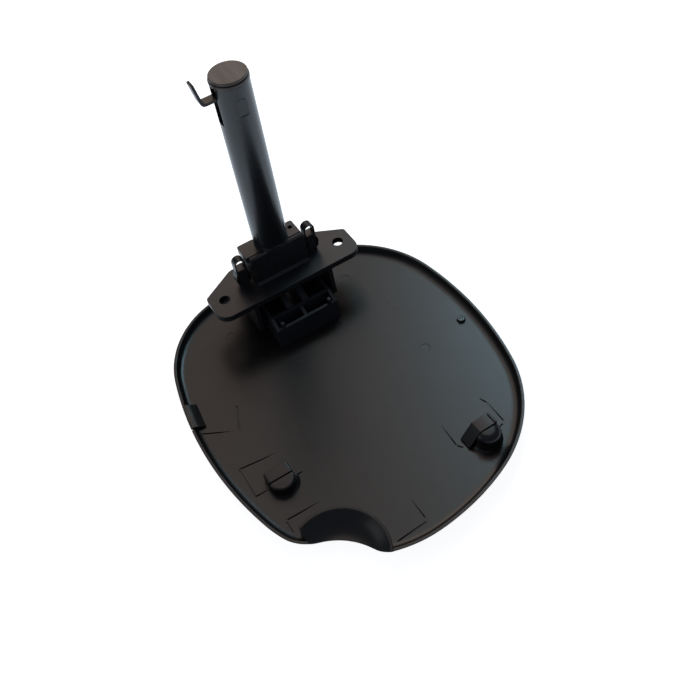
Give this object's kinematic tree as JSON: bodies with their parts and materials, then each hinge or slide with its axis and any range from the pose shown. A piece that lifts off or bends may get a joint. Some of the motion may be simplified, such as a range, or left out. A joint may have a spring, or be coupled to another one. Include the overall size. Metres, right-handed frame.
{
  "type": "car fuel door",
  "caption": "Crowned car fuel door lid with a finger scoop, on a ribbed hinge arm under a bolt-on flange with a long sprung tube and side hook.",
  "frame": {"origin": "midway between the two bolt holes, on the flange face that meets the car body", "axes": "+X from the left bolt hole to the right one, +Z into the car along the tube, so the lid faces -Z and its finger scoop lies towards -Y"},
  "size_m": [0.1865, 0.219, 0.1797],
  "materials": {
    "housing_plastic": "black glass-filled nylon, satin as moulded",
    "lid_plastic": "dark primer over moulded plastic, smooth satin",
    "cap_plastic": "matt grey-brown moulded plastic",
    "pin_steel": "turned bright steel",
    "spring_steel": "black oiled spring steel",
    "bush_plastic": "natural acetal"
  },
  "bodies": {
    "housing": {"hinge_housing": "housing_plastic", "tube_cap": "cap_plastic", "pivot_pin": "pin_steel", "pin_clip": "pin_steel", "body_clip_left": "spring_steel", "body_clip_right": "spring_steel", "rod_guide": "bush_plastic", "spring_seat": "pin_steel", "return_spring": "spring_steel"},
    "lid": {"lid_panel": "lid_plastic", "hinge_arm": "housing_plastic", "arm_bush_left": "bush_plastic", "arm_bush_right": "bush_plastic", "side_washer_left": "bush_plastic", "side_washer_right": "bush_plastic", "crank_pin": "pin_steel"},
    "rod": {"pull_rod": "pin_steel", "piston_head": "housing_plastic", "head_ring": "pin_steel", "release_hook": "spring_steel", "hook_rivet": "pin_steel"}
  },
  "joints": [
    {"name": "lid_hinge", "type": "hinge", "parent": "housing", "child": "lid", "pos_m": [0, 0.01469, -0.014], "axis": [1, 0, 0], "range_deg": [0, 85]},
    {"name": "rod_slide", "type": "slide", "parent": "housing", "child": "rod", "axis": [0, 0, 1], "range_m": [-0.0137, 0], "deforming": ["return_spring"]}
  ],
  "couplings": [
    {"joint": "rod_slide", "follows": "lid_hinge", "m_per_rad": -0.009108}
  ]
}
